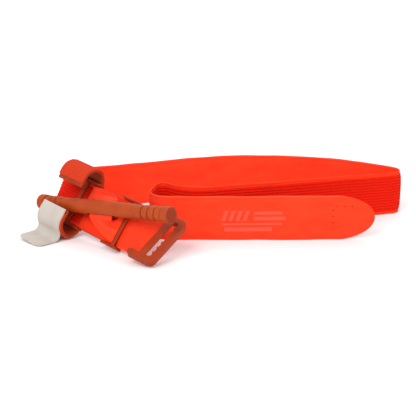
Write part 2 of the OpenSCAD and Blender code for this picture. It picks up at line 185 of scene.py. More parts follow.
def square_up(up, way):
    return unit(up - np.dot(up, way) * way)


class Band:
    """Stations along the whole band, from the keeper to the tip of the tail."""

    def __init__(self, step):
        self.centre, self.way, self.up = [], [], []
        for u in np.arange(BASE_NEAR, BASE_FAR, -step):
            self.add(BASE.at((u, 0, 0)), -BASE.a, BASE.c)
        start = BASE.at((BASE_FAR, 0, 0))
        end = np.array([*RUN_START, BAND_W / 2])
        run_way = heading(RUN_HEADING)
        curve = [start, start - BEND_REACH * BASE.a, end - BEND_REACH * run_way, end]
        for t in np.linspace(0, 1, 36, endpoint=False):
            way = bezier_way(curve, t)
            blend_up = (1 - ease(t)) * BASE.c + ease(t) * np.array([0, 0, 1.0])
            self.add(bezier(curve, t), way, square_up(blend_up, way))
        self.walk(step)
        self.centre, self.way, self.up = (np.array(x) for x in (self.centre, self.way, self.up))
        self.out = np.cross(self.up, self.way)
        steps = np.linalg.norm(np.diff(self.centre, axis=0), axis=1)
        self.s = np.concatenate([[0], np.cumsum(steps)])
        self.length = self.s[-1]

    def add(self, centre, way, up):
        self.centre.append(centre)
        self.way.append(way)
        self.up.append(up)

    def walk(self, step):
        x, y, h = *RUN_START, RUN_HEADING
        self.marks = {}
        for name, arcs in (("back", BACK_ARCS), ("fold", FOLD_ARCS), ("front", FRONT_ARCS),
                           ("loop", LOOP_ARCS), ("tail", TAIL_ARCS)):
            self.marks[name] = len(self.centre)
            for length, turn in arcs:
                fine = max(step * 0.25, min(step, length / max(1, abs(turn)) * 5))
                n = math.ceil(length / fine)
                for i in range(n):
                    self.add(np.array([x, y, BAND_W / 2]), heading(h), np.array([0, 0, 1.0]))
                    h += turn / n / 2
                    x += length / n * math.cos(math.radians(h))
                    y += length / n * math.sin(math.radians(h))
                    h += turn / n / 2
        self.add(np.array([x, y, BAND_W / 2]), heading(h), np.array([0, 0, 1.0]))

    def half(self, s):
        """Half width of the band, which runs out in a pointed oval at the tip."""
        e = np.clip((self.length - np.asarray(s, float)) / TIP_L, 0, 1)
        return BAND_W / 2 * np.sqrt(np.clip(1 - (1 - e) ** 2.15, 0, 1))

    def at(self, s):
        """Centre, way, up and out at any length along the band."""
        picks = [np.stack([np.interp(s, self.s, q[:, k]) for k in range(3)], -1)
                 for q in (self.centre, self.way, self.up, self.out)]
        return picks[0], *(q / np.linalg.norm(q, axis=-1, keepdims=True) for q in picks[1:])


BAND = Band(2.0)
S_BACK, S_FRONT, S_TAIL = (BAND.s[BAND.marks[k]] for k in ("back", "front", "tail"))
S_CUTS = [0.0, S_BACK + 150.0, S_FRONT + 100.0, BAND.length]


def ripple(s, v):
    """Slow waves of soft webbing, away from the rigid base."""
    free = ease((s - 96.0) / 50.0)
    edge = np.abs(v) / (BAND_W / 2)
    slow = 0.45 * np.sin(s / 31.0 + 0.05 * v) + 0.3 * np.sin(s / 13.7 + 1.9 - 0.09 * v)
    flutter = edge ** 3 * (0.35 * np.sin(s / 7.3 + 2 * np.sign(v)) + 0.2 * np.sin(s / 4.1 + np.sign(v)))
    return free * (slow + flutter)


def pinch(v, half):
    """How far the two tapes close on each other towards a sewn edge, from 0 to 1."""
    return ease((np.abs(v) - (half - 6.5)) / 4.5)


def seam_dip(v, half):
    return np.exp(-((np.abs(v) - (half - STITCH_IN)) / 0.45) ** 2)


def face_outer(s, v, half):
    return FACE_OUT + 0.55 * pinch(v, half) + 0.14 * seam_dip(v, half)


def face_inner(s, v, half):
    return FACE_IN + 0.5 * pinch(v, half)


def pile(s, v):
    """How much of the hook pile there is: none on the margins, or where the cloth is bare near the rod."""
    return ease((ROW_FIELD - np.abs(v)) / 0.8) * ease((s - BARE_L) / 4.0)


def rod_folds(s, v):
    """Broad folds that spread from the rod's middle, in the bare cloth between the hooks and the keeper."""
    u = BASE_NEAR - s
    from_rod, aside = u - ROD_CENTRE[0], v - ROD_CENTRE[1]
    spread = np.arctan2(aside, from_rod)
    room = ease((s - 10.5) / 6.0) * ease((BARE_L - s) / 6.0) * ease((17.2 - np.abs(v)) / 5.0)
    waves = 0.55 + 0.45 * np.sin(5 * spread + 0.9) + 0.25 * np.sin(9 * spread - 0.08 * from_rod)
    return 1.1 * room * waves


def hook_outer(s, v, half):
    rows = 1 - np.sqrt(np.abs(np.cos(math.pi * v / ROW_PITCH)))
    flat = 0.3 * (1 - pile(s, v)) + 0.3 * pile(s, v) * rows
    return HOOK_OUT - flat - 0.4 * pinch(v, half) - 0.12 * seam_dip(v, half) + rod_folds(s, v)


def hook_inner(s, v, half):
    return HOOK_IN - 0.4 * pinch(v, half)


# ---- Meshes -----------------------------------------------------------------

def new_piece(name, verts, faces, material):
    """A mesh piece from points in millimetres of the drawing."""
    mesh = bpy.data.meshes.new(name)
    mesh.from_pydata([row(p) for p in verts], [], faces)
    mesh.validate()
    mesh.materials.append(material)
    piece = bpy.data.objects.new(name, mesh)
    bpy.context.scene.collection.objects.link(piece)
    return piece


def dress(piece, sharp_angle=38.0):
    """Outward faces, smooth shading and sharp edges where the surface turns a corner."""
    bm = bmesh.new()
    bm.from_mesh(piece.data)
    bmesh.ops.recalc_face_normals(bm, faces=bm.faces)
    limit = math.radians(sharp_angle)
    for face in bm.faces:
        face.smooth = True
    for edge in bm.edges:
        edge.smooth = len(edge.link_faces) == 2 and edge.calc_face_angle(0) < limit
    bm.to_mesh(piece.data)
    bm.free()
    return piece


def loft_faces(rings, per_ring):
    """Quads between closed rings, and the two end caps."""
    faces = []
    for i in range(rings - 1):
        for j in range(per_ring):
            k = (j + 1) % per_ring
            a, b = i * per_ring, (i + 1) * per_ring
            faces.append((a + j, a + k, b + k, b + j))
    faces.append(tuple(range(per_ring)))
    faces.append(tuple((rings - 1) * per_ring + j for j in reversed(range(per_ring))))
    return faces


def loft(name, rings, material, marks=None):
    """A closed skin through rings of points. marks is each point's place on the cloth, in millimetres."""
    rings = np.asarray(rings, float)
    piece = new_piece(name, rings.reshape(-1, 3), loft_faces(len(rings), rings.shape[1]), material)
    if marks is not None:
        cloth = piece.data.attributes.new("cloth", "FLOAT_VECTOR", "POINT")
        cloth.data.foreach_set("vector", (np.asarray(marks, float).reshape(-1, 3) * MM).ravel())
    return dress(piece, 60.0)


INNER_SAMPLES = 13


def tape(name, s0, s1, outer, inner, samples, material):
    """One tape of the band between two lengths, with rounded edges and a thickness."""
    inside = [s for s in BAND.s if s0 + 0.3 < s < s1 - 0.3]
    stations = np.array([s0, *inside, s1])
    if s1 >= BAND.length:
        nose = BAND.length - TIP_L * (1 - np.cos(np.linspace(0.03, math.pi / 2, 26))) * 0.7
        stations = np.sort(np.concatenate([stations[stations < BAND.length - 0.3], nose]))
        stations = stations[np.concatenate([[True], np.diff(stations) > 0.004])]
    x_out = np.linspace(-1, 1, samples)
    x_in = np.linspace(1, -1, INNER_SAMPLES)
    rings, marks = [], []
    for s in stations:
        half = float(BAND.half(s))
        centre, way, up, out = BAND.at(s)
        v0, v1 = half * x_out, half * x_in
        d0 = outer(s, v0, half) + ripple(s, v0)
        d1 = inner(s, v1, half) + ripple(s, v1)
        mid = (d0[-1] + d1[0]) / 2
        low = (d0[0] + d1[-1]) / 2
        v = np.concatenate([v0, [half + 0.2], v1, [-half - 0.2]])
        d = np.concatenate([d0, [mid], d1, [low]])
        rings.append(centre + np.outer(v, up) + np.outer(d, out))
        side = np.concatenate([np.ones(samples), [0.0], -np.ones(INNER_SAMPLES), [0.0]])
        marks.append(np.stack([np.full(len(v), s), v, side], -1))
    return loft(name, rings, material, marks)


def prism(frame, profile, x0, x1, round_by, plane="along"):
    """Points and faces of an outline pushed along a frame, with rounded ends.
    The outline is in (across, outward) for plane "along" and in (along, across) for plane "out"."""
    p = np.asarray(profile, float)
    edge = np.roll(p, -1, 0) - p
    edge /= np.linalg.norm(edge, axis=1, keepdims=True)
    normal = np.stack([edge[:, 1], -edge[:, 0]], -1)
    area = 0.5 * np.sum(p[:, 0] * np.roll(p[:, 1], -1) - p[:, 1] * np.roll(p[:, 0], -1))
    normal *= np.sign(area)
    corner = normal + np.roll(normal, 1, 0)
    corner /= np.maximum(1e-6, (1 + np.sum(normal * np.roll(normal, 1, 0), 1)))[:, None]
    rings = []
    for k in (3, 2, 1, 0):
        a = math.radians(30 * k)
        rings.append((x0 + round_by * (1 - math.sin(a)), round_by * (1 - math.cos(a))))
    rings += [(x0 + x1 - x, i) for x, i in reversed(rings)]
    verts = []
    for x, inset in rings:
        q = p - inset * corner
        if plane == "along":
            local = np.column_stack([np.full(len(q), x), q])
        else:
            local = np.column_stack([q, np.full(len(q), x)])
        verts.append(frame.at(local))
    return np.concatenate(verts), loft_faces(len(rings), len(p))


def block(frame, low, high, round_by):
    """Points and faces of a block with rounded edges, in a frame."""
    bm = bmesh.new()
    bmesh.ops.create_cube(bm, size=1.0)
    low, high = np.asarray(low, float), np.asarray(high, float)
    for v in bm.verts:
        v.co = Vector((low + high) / 2 + np.array(v.co) * (high - low))
    bmesh.ops.bevel(bm, geom=list(bm.edges), offset=round_by, segments=3, profile=0.5, affect="EDGES")
    bm.verts.index_update()
    verts = frame.at([tuple(v.co) for v in bm.verts])
    faces = [tuple(v.index for v in f.verts) for f in bm.faces]
    bm.free()
    return verts, faces


def assembled(name, parts, material):
    """One moulded piece out of several closed bodies that run into each other."""
    verts, faces = [], []
    for v, f in parts:
        start = sum(len(x) for x in verts)
        verts.append(v)
        faces += [tuple(start + i for i in face) for face in f]
    return dress(new_piece(name, np.concatenate(verts), faces, material), 35.0)


def arc(centre, r, a0, a1, step=5.0):
    n = max(2, math.ceil(abs(a1 - a0) / step) + 1)
    t = np.radians(np.linspace(a0, a1, n))
    return np.column_stack([centre[0] + r * np.cos(t), centre[1] + r * np.sin(t)])


# ---- Materials --------------------------------------------------------------

def shade(r, g, b):
    """A surface colour from its 0 to 255 display values."""
    linear = [(x / 255 / 12.92) if x <= 10 else ((x / 255 + 0.055) / 1.055) ** 2.4 for x in (r, g, b)]
    return (*linear, 1.0)


class Finish:
    """A material's node tree, with short names for the nodes that the finishes share."""

    def __init__(self, name, roughness, sheen=0.0, specular=0.5):
        self.material = bpy.data.materials.new(name)
        self.material.use_nodes = True
        self.tree = self.material.node_tree
        self.tree.nodes.clear()
        output = self.node("ShaderNodeOutputMaterial")
        self.surface = self.node("ShaderNodeBsdfPrincipled")
        self.surface.inputs["Roughness"].default_value = roughness
        self.surface.inputs["Sheen Weight"].default_value = sheen
        self.surface.inputs["Sheen Roughness"].default_value = 0.45
        self.surface.inputs["Specular IOR Level"].default_value = specular
        self.link(self.surface.outputs["BSDF"], output.inputs["Surface"])

    def node(self, kind, **settings):
        made = self.tree.nodes.new(kind)
        for key, value in settings.items():
            setattr(made, key, value)
        return made

    def link(self, a, b):
        self.tree.links.new(a, b)

    def feed(self, socket, value):
        if hasattr(value, "links"):
            self.link(value, socket)
        else:
            socket.default_value = value

    def math(self, operation, a, b=0.0, c=0.0, clamp=False):
        made = self.node("ShaderNodeMath", operation=operation, use_clamp=clamp)
        for socket, value in zip(made.inputs, (a, b, c)):
            self.feed(socket, value)
        return made.outputs[0]

    def place(self):
        return self.node("ShaderNodeTexCoord").outputs["Object"]

    def cloth(self):
        """Length along the cloth, width across it and the side, from the piece's own attribute."""
        made = self.node("ShaderNodeAttribute", attribute_name="cloth")
        parts = self.node("ShaderNodeSeparateXYZ")
        self.link(made.outputs["Vector"], parts.inputs[0])
        return made.outputs["Vector"], parts.outputs[0], parts.outputs[1], parts.outputs[2]

    def noise(self, vector, scale, detail=3.0, roughness=0.55, stretch=None):
        if stretch:
            squeezed = self.node("ShaderNodeMapping")
            squeezed.inputs["Scale"].default_value = stretch
            self.link(vector, squeezed.inputs["Vector"])
            vector = squeezed.outputs[0]
        made = self.node("ShaderNodeTexNoise")
        self.link(vector, made.inputs["Vector"])
        made.inputs["Scale"].default_value = scale
        made.inputs["Detail"].default_value = detail
        made.inputs["Roughness"].default_value = roughness
        return made.outputs[0]

    def wave(self, value, pitch_mm, phase=0.0):
        """A sine of a length, from 0 to 1."""
        turned = self.math("MULTIPLY_ADD", value, 2 * math.pi / (pitch_mm * MM), phase)
        return self.math("MULTIPLY_ADD", self.math("SINE", turned), 0.5, 0.5)

    def between(self, value, low, high, soft):
        """1 where a length in millimetres lies between two others, with soft ends."""
        up = self.node("ShaderNodeMapRange", interpolation_type="SMOOTHSTEP")
        down = self.node("ShaderNodeMapRange", interpolation_type="SMOOTHSTEP")
        self.feed(up.inputs["Value"], value)
        self.feed(down.inputs["Value"], value)
        up.inputs["From Min"].default_value = (low - soft) * MM
        up.inputs["From Max"].default_value = low * MM
        down.inputs["From Min"].default_value = high * MM
        down.inputs["From Max"].default_value = (high + soft) * MM
        down.inputs["To Min"].default_value = 1.0
        down.inputs["To Max"].default_value = 0.0
        return self.math("MULTIPLY", up.outputs[0], down.outputs[0])

    def mix(self, share, a, b):
        made = self.node("ShaderNodeMix", data_type="RGBA", blend_type="MIX")
        self.feed(made.inputs[0], share)
        self.feed(made.inputs[6], a)
        self.feed(made.inputs[7], b)
        return made.outputs[2]

    def ramp(self, value, *stops):
        made = self.node("ShaderNodeValToRGB")
        self.feed(made.inputs[0], value)
        bar = made.color_ramp
        while len(bar.elements) < len(stops):
            bar.elements.new(0.5)
        for element, (position, colour) in zip(bar.elements, stops):
            element.position, element.color = position, colour
        return made.outputs[0]

    def colour(self, value):
        self.feed(self.surface.inputs["Base Color"], value)

    def rough(self, value):
        self.feed(self.surface.inputs["Roughness"], value)

    def bump(self, height, depth_mm, strength=1.0):
        made = self.node("ShaderNodeBump")
        made.inputs["Strength"].default_value = strength
        made.inputs["Distance"].default_value = depth_mm * MM
        self.link(height, made.inputs["Height"])
        self.link(made.outputs[0], self.surface.inputs["Normal"])


def woven_face_finish():
    """Smooth nylon webbing, with paler selvedges, a faint rib, and a plain bar mark on the tail."""
    f = Finish("woven_face_tape", 0.8, specular=0.12)
    vector, along, across, side = f.cloth()
    cloudy = f.noise(vector, 45.0, stretch=(1, 2.5, 1))
    base = f.ramp(cloudy, (0.3, shade(240, 53, 23)), (0.7, shade(248, 63, 30)))
    weave = f.math("MULTIPLY", f.wave(across, 0.62), f.wave(along, 0.5))
    base = f.mix(f.math("MULTIPLY", weave, 0.12), base, shade(255, 84, 56))
    width = f.math("ABSOLUTE", across)
    base = f.mix(f.math("MULTIPLY", f.between(width, 17.2, 25.0, 0.4), 0.3), base, shade(255, 92, 66))
    # A faint darker line along each seam: painted shade in the seam's groove.
    base = f.mix(f.math("MULTIPLY", f.between(width, 15.9, 16.9, 0.4), 0.12), base, shade(214, 30, 12))
    base = f.mix(f.math("MULTIPLY", tail_mark(f, along, across, side), 0.3), base, shade(250, 112, 98))
    f.colour(base)
    threads = f.noise(vector, 900.0, detail=2.0)
    f.rough(f.math("MULTIPLY_ADD", threads, 0.16, 0.7))
    f.bump(f.math("MULTIPLY_ADD", threads, 0.5, weave), 0.1, 0.5)
    return f.material


# The mark on the tail is a row of slanting bars, with two rules beside them and two under them.
MARK_FROM_LOOP = 44.0
MARK_BARS, MARK_PITCH, MARK_BAR_W = 4, 5.6, 2.9


def tail_mark(f, along, across, side):
    start = float(S_TAIL) + MARK_FROM_LOOP
    rules_from = start + MARK_BARS * MARK_PITCH + 3.0
    slant = f.math("MULTIPLY_ADD", across, -0.35, along)
    mark = None
    for i in range(MARK_BARS):
        bar = f.between(slant, start + i * MARK_PITCH, start + i * MARK_PITCH + MARK_BAR_W, 0.25)
        mark = bar if mark is None else f.math("MAXIMUM", mark, bar)
    mark = f.math("MULTIPLY", mark, f.between(across, -1.5, 6.5, 0.25))
    rules = (
        (rules_from, rules_from + 22.0, 3.4, 5.8),
        (rules_from, rules_from + 25.0, -1.2, 1.4),
        (start, rules_from + 22.0, -5.2, -3.8),
        (start + 2.0, rules_from + 14.0, -10.4, -7.2),
    )
    for x0, x1, low, high in rules:
        rule = f.math("MULTIPLY", f.between(along, x0, x1, 0.25), f.between(across, low, high, 0.25))
        mark = f.math("MAXIMUM", mark, rule)
    return f.math("MULTIPLY", mark, f.math("GREATER_THAN", side, 0.5 * MM))


def hook_tape_finish(name, crest, valley_painted_shade, bare, field, bare_l):
    """Hook tape: rows of stiff loops, painted darker between the rows as shade in the grooves, with plain
    cloth on its margins.
    bare is the plain cloth's colour, field the half width of the rows and bare_l where the rows begin."""
    f = Finish(name, 0.9, specular=0.08)
    vector, along, across, _ = f.cloth()
    rows = f.wave(across, ROW_PITCH, math.pi / 2)
    loops = f.noise(vector, 620.0, detail=2.0, stretch=(1.0, 0.7, 1.0))
    patchy = f.noise(vector, 30.0, stretch=(1, 2, 1))
    height = f.math("MULTIPLY_ADD", loops, 0.6, rows)
    share = f.math("MULTIPLY_ADD", height, 0.45, f.math("MULTIPLY_ADD", patchy, 0.3, -0.1), clamp=True)
    # The valley colour between the rows is painted shade in the grooves; the loops and patchy noise add
    # random tone.
    rows_with_painted_shade = f.mix(share, valley_painted_shade, crest)
    in_rows = f.math("MULTIPLY", f.between(f.math("ABSOLUTE", across), -1.0, field, 0.6),
                     f.between(along, bare_l, 5000.0, 3.0))
    f.colour(f.mix(in_rows, bare, rows_with_painted_shade))
    f.bump(f.math("MULTIPLY", height, in_rows), 0.22, 0.6)
    return f.material


def satin_finish():
    """The bare tension band: a shiny, closely ribbed ribbon, with a painted highlight along its ribs."""
    f = Finish("satin_tension_band", 0.6, sheen=0.03, specular=0.15)
    vector, along, across, _ = f.cloth()
    lines = f.wave(across, 0.8)
    soft = f.noise(vector, 70.0, stretch=(0.6, 3, 1))
    base = f.ramp(soft, (0.3, shade(246, 46, 12)), (0.7, shade(254, 64, 24)))
    # The paler colour along the rib lines is a painted highlight.
    f.colour(f.mix(f.math("MULTIPLY", lines, 0.12), base, shade(255, 96, 62)))
    f.bump(f.math("MULTIPLY_ADD", f.noise(vector, 500.0), 0.7, lines), 0.06, 0.5)
    return f.material


def strap_finish():
    """Cream writing strap: plain weave with a little grey in it."""
    f = Finish("cream_time_strap", 0.85, specular=0.15)
    vector, along, across, _ = f.cloth()
    stains = f.noise(vector, 55.0, detail=4.0)
    base = f.ramp(stains, (0.25, shade(187, 175, 166)), (0.75, shade(196, 189, 179)))
    weave = f.math("MULTIPLY", f.wave(along, 0.7), f.wave(across, 0.7))
    base = f.mix(f.math("MULTIPLY", weave, 0.2), base, shade(206, 199, 190))
    edge = f.between(f.math("ABSOLUTE", across), STRAP_W / 2 - 1.2, STRAP_W, 0.3)
    f.colour(f.mix(f.math("MULTIPLY", edge, 0.25), base, shade(170, 158, 147)))
    f.bump(f.math("MULTIPLY_ADD", f.noise(vector, 700.0), 0.6, weave), 0.12, 0.6)
    return f.material


def moulded_finish(name, dark, light, roughness, scale=60.0):
    """Moulded nylon: slightly cloudy, with a fine grain and pale scuffs."""
    f = Finish(name, roughness, specular=0.22)
    place = f.place()
    cloud = f.noise(place, scale, detail=4.0)
    grain = f.noise(place, 1500.0, detail=2.0)
    scuffs = f.noise(place, 260.0, detail=5.0, roughness=0.7, stretch=(1, 3, 1))
    base = f.ramp(cloud, (0.3, dark), (0.7, light))
    worn = f.ramp(scuffs, (0.62, (0, 0, 0, 1)), (0.74, (1, 1, 1, 1)))
    f.colour(f.mix(f.math("MULTIPLY", worn, 0.1), base, shade(220, 108, 54)))
    f.rough(f.math("MULTIPLY_ADD", scuffs, 0.25, roughness - 0.12))
    f.bump(f.math("MULTIPLY_ADD", scuffs, 0.4, grain), 0.05, 0.5)
    return f.material


def thread_finish(name, colour, pale):
    f = Finish(name, 0.8, specular=0.1)
    place = f.place()
    f.colour(f.ramp(f.noise(place, 900.0), (0.3, colour), (0.7, pale)))
    f.bump(f.noise(place, 2500.0), 0.05, 0.5)
    return f.material


FACE = woven_face_finish()
HOOK = hook_tape_finish("ribbed_hook_tape", shade(222, 32, 8), shade(204, 23, 5), shade(242, 54, 22),
                        ROW_FIELD, BARE_L)
# A patch has rows all over it, with no plain margins.
ALL_OVER = 500.0
PATCH = hook_tape_finish("brick_hook_patch", shade(208, 64, 34), shade(192, 52, 26), shade(196, 58, 30),
                         ALL_OVER, -ALL_OVER)
SATIN = satin_finish()
CREAM = strap_finish()
ROD = moulded_finish("moulded_rod", shade(160, 58, 10), shade(176, 68, 15), 0.5)
# A darker copy of the rod's plastic for its end faces: painted shade on the knobs' ends.
ROD_END_PAINTED_SHADE = moulded_finish("moulded_rod_end_painted_shade", shade(132, 42, 12), shade(146, 50, 16), 0.6)
CLIP = moulded_finish("moulded_clip", shade(148, 44, 6), shade(163, 53, 9), 0.55)
BUCKLE_PLASTIC = moulded_finish("moulded_buckle", shade(146, 45, 5), shade(163, 54, 8), 0.5)
THREAD = thread_finish("seam_thread", shade(240, 48, 26), shade(252, 74, 50))
TACK_THREAD = thread_finish("tack_thread", shade(150, 16, 8), shade(168, 24, 12))
BRISTLE = thread_finish("hook_tufts", shade(226, 26, 10), shade(244, 40, 18))
PATCH_BRISTLE = thread_finish("patch_tufts", shade(196, 56, 28), shade(212, 70, 38))


# ---- Scattered stitches and tufts (Geometry Nodes) ---------------------------

def scatter_tree():
    """Puts one small rounded thread on every point, turned to the point's own way and out directions."""
    tree = bpy.data.node_groups.new("threads_on_points", "GeometryNodeTree")
    face = tree.interface
    face.new_socket("Geometry", in_out="INPUT", socket_type="NodeSocketGeometry")
    for name in ("Length", "Width", "Height", "Spread"):
        face.new_socket(name, in_out="INPUT", socket_type="NodeSocketFloat")
    face.new_socket("Seed", in_out="INPUT", socket_type="NodeSocketInt")
    face.new_socket("Thread", in_out="INPUT", socket_type="NodeSocketMaterial")
    face.new_socket("Geometry", in_out="OUTPUT", socket_type="NodeSocketGeometry")
    new, link = tree.nodes.new, tree.links.new
    given, out = new("NodeGroupInput"), new("NodeGroupOutput")
    ball = new("GeometryNodeMeshIcoSphere")
    ball.inputs["Radius"].default_value = 0.5
    ball.inputs["Subdivisions"].default_value = 1
    size = new("ShaderNodeCombineXYZ")
    for socket, name in zip(size.inputs, ("Length", "Width", "Height")):
        link(given.outputs[name], socket)
    vary = new("FunctionNodeRandomValue")
    vary.data_type = "FLOAT"
    low, high = new("ShaderNodeMath"), new("ShaderNodeMath")
    low.operation, high.operation = "SUBTRACT", "ADD"
    low.inputs[0].default_value = high.inputs[0].default_value = 1.0
    link(given.outputs["Spread"], low.inputs[1])
    link(given.outputs["Spread"], high.inputs[1])
    link(low.outputs[0], vary.inputs[2])
    link(high.outputs[0], vary.inputs[3])
    link(given.outputs["Seed"], vary.inputs["Seed"])
    scaled = new("ShaderNodeVectorMath")
    scaled.operation = "SCALE"
    link(size.outputs[0], scaled.inputs[0])
    link(vary.outputs[1], scaled.inputs["Scale"])
    turn = new("FunctionNodeAxesToRotation")
    turn.primary_axis, turn.secondary_axis = "X", "Z"
    for name, socket in (("way", 0), ("out", 1)):
        read = new("GeometryNodeInputNamedAttribute")
        read.data_type = "FLOAT_VECTOR"
        read.inputs["Name"].default_value = name
        link(read.outputs["Attribute"], turn.inputs[socket])
    place = new("GeometryNodeInstanceOnPoints")
    link(given.outputs["Geometry"], place.inputs["Points"])
    link(ball.outputs["Mesh"], place.inputs["Instance"])
    link(turn.outputs[0], place.inputs["Rotation"])
    link(scaled.outputs[0], place.inputs["Scale"])
    real = new("GeometryNodeRealizeInstances")
    link(place.outputs["Instances"], real.inputs[0])
    smooth = new("GeometryNodeSetShadeSmooth")
    link(real.outputs[0], smooth.inputs["Geometry"])
    paint = new("GeometryNodeSetMaterial")
    link(smooth.outputs[0], paint.inputs["Geometry"])
    link(given.outputs["Thread"], paint.inputs["Material"])
    link(paint.outputs[0], out.inputs[0])
    return tree


SCATTER = scatter_tree()


def scattered(name, points, way, out, size, spread, seed, material):
    """A plain mesh of small threads. points, way and out are arrays; size is in millimetres."""
    mesh = bpy.data.meshes.new(name + "_points")
    mesh.from_pydata([row(p) for p in points], [], [])
    for key, values in (("way", way), ("out", out)):
        held = mesh.attributes.new(key, "FLOAT_VECTOR", "POINT")
        held.data.foreach_set("vector", np.asarray(values, float).ravel())
    source = bpy.data.objects.new(name + "_points", mesh)
    bpy.context.scene.collection.objects.link(source)
    modifier = source.modifiers.new("threads", "NODES")
    modifier.node_group = SCATTER
    wanted = {"Length": size[0] * MM, "Width": size[1] * MM, "Height": size[2] * MM,
              "Spread": spread, "Seed": seed, "Thread": material}
    for item in SCATTER.interface.items_tree:
        if item.in_out == "INPUT" and item.name in wanted:
            modifier[item.identifier] = wanted[item.name]
    shown = source.evaluated_get(bpy.context.evaluated_depsgraph_get())
    piece = bpy.data.objects.new(name, bpy.data.meshes.new_from_object(shown))
    bpy.context.scene.collection.objects.link(piece)
    bpy.data.objects.remove(source)
    return piece


# ---- The band ---------------------------------------------------------------

STRETCHES = [("rear", ("base", "bend", "back")), ("fold", ("back", "fold", "front")),
             ("tail", ("front", "loop", "tail"))]


def follow(piece):
    """Bakes the piece's placement into its mesh."""
    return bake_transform(piece)


def band_points(s, v, depth, inward):
    """Points, ways and outs on the band's surface; inward is -1 on the face side and 1 on the hook side."""
    centre, way, up, out = BAND.at(s)
    d = depth(s, v, BAND.half(s)) + ripple(s, v)
    return centre + v[:, None] * up + d[:, None] * out, way, inward * out


def edge_seams(k):
    """The lock stitches that sew the two tapes together, along both edges and round the tip."""
    s0, s1 = S_CUTS[k], S_CUTS[k + 1]
    rows, pitch = [], 3.3
    s = np.arange(s0 + pitch / 2, min(s1, BAND.length - 1.5), pitch)
    for depth, side in ((face_outer, -1), (hook_outer, 1)):
        for edge in (-1, 1):
            v = edge * np.maximum(BAND.half(s) - STITCH_IN, 0.2)
            rows.append(band_points(s, v, depth, side))
    points, way, out = (np.concatenate(x) for x in zip(*rows))
    return scattered(f"edge_seam_{STRETCHES[k][0]}", points, way, out, (2.4, 0.45, 0.25), 0.08,
                     11 + k, THREAD)


def tip_tacks():
    """Dark tacks on the tail before its tip, on the face side: three in a row and three side by side."""
    spots = [(d, 9.9) for d in (18.5, 24.2, 30.0)] + [(33.4, v) for v in (6.6, 1.7, -3.7)]
    back, v = (np.array(x, float) for x in zip(*spots))
    points, way, out = band_points(BAND.length - back, v, face_outer, -1)
    return scattered("tip_tacks", points, way, out, (1.4, 1.3, 0.7), 0.05, 31, TACK_THREAD)


def tufts(k):
    """The rows of stiff loops on the hook tape."""
    s0, s1 = S_CUTS[k], S_CUTS[k + 1]
    dice = np.random.default_rng(40 + k)
    s, v = [], []
    for r in range(-6, 7):
        line = np.arange(max(s0 + 0.8, BARE_L + 3.0), s1 - 0.8, 1.45) + dice.uniform(-0.25, 0.25)
        reach = BAND.half(line) - 2.6
        line = line[reach > abs(r * ROW_PITCH)]
        s.append(line + dice.uniform(-0.3, 0.3, len(line)))
        v.append(np.full(len(line), r * ROW_PITCH) + dice.uniform(-0.25, 0.25, len(line)))
    s, v = np.clip(np.concatenate(s), s0, s1), np.concatenate(v)
    points, way, out = band_points(s, v, hook_outer, 1)
    lean = way + 0.6 * dice.uniform(-1, 1, (len(s), 1)) * np.cross(way, out)
    lean /= np.linalg.norm(lean, axis=1, keepdims=True)
    return scattered(f"hook_tufts_{STRETCHES[k][0]}", points, lean, out, (1.35, 0.8, 0.5), 0.25,
                     70 + k, BRISTLE)


def band_stretch(k):
    name, nodes = STRETCHES[k]
    s0, s1 = S_CUTS[k], S_CUTS[k + 1]
    face = tape(f"face_tape_{name}_cloth", s0, s1, face_outer, face_inner, 39, FACE)
    hook = tape(f"hook_tape_{name}_cloth", s0, s1, hook_outer, hook_inner, 121, HOOK)
    seam, loops = edge_seams(k), tufts(k)
    sewn = [seam, tip_tacks()] if k == 2 else [seam]
    for piece in (face, hook, loops, *sewn):
        follow(piece)
    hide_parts(*[f"{layer}_{n}" for layer in ("face_tape", "tension_band") for n in nodes])
    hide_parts(*[f"hook_tape_{n}" for n in nodes])


# ---- The rod ----------------------------------------------------------------

def groove(low, z):
    """The outline of one groove that starts at z."""
    return [(low + 0.25, z + 0.1), (low, z + 0.35),
            (low, z + GROOVE - 0.35), (low + 0.25, z + GROOVE - 0.1)]


def rod_profile():
    """(radius, distance from the middle) from the middle to one end."""
    neck_at = ROD_L / 2 - KNOB_L - 4 * GROOVE - 3 * RIB_L
    points = []
    for t in np.linspace(0, 1, 25):
        swell = 0.5 + 0.5 * math.cos(math.pi * t)
        points.append((ROD_NECK_R + (ROD_MID_R - ROD_NECK_R) * swell, neck_at * t))
    low = ROD_NECK_R - GROOVE
    crest = (ROD_NECK_R + KNOB_R) / 2
    for k in range(3):
        z = neck_at + k * (RIB_L + GROOVE)
        points += groove(low, z)
        for t in np.linspace(0, 1, 9):
            x = 2 * t - 1
            points.append((crest - 0.12 * x * x - 0.55 * abs(x) ** 7, z + GROOVE + RIB_L * t))
    z = neck_at + 3 * (RIB_L + GROOVE)
    points += groove(low, z)
    for t in np.radians(np.linspace(0, 90, 5)):
        points.append((KNOB_R - 0.7 + 0.7 * math.sin(t), z + GROOVE + 0.7 - 0.7 * math.cos(t)))
    for t in np.radians(np.linspace(0, 90, 5)):
        points.append((KNOB_R - 0.9 + 0.9 * math.cos(t), ROD_L / 2 - 0.9 + 0.9 * math.sin(t)))
    points += [(KNOB_R - 2.2, ROD_L / 2), (KNOB_R - 2.6, ROD_L / 2 - 0.3), (1.2, ROD_L / 2 - 0.3)]
    return points


def rod_frame():
    group = Group((0, 0, 0), 0, 0, 0)
    turn = math.radians(ROD_ANGLE)
    group.origin = BASE.at(ROD_CENTRE)
    group.a = math.cos(turn) * BASE.a + math.sin(turn) * BASE.c
    group.c = -math.sin(turn) * BASE.a + math.cos(turn) * BASE.c
    group.n = BASE.n
    return group


ROD_FRAME = rod_frame()


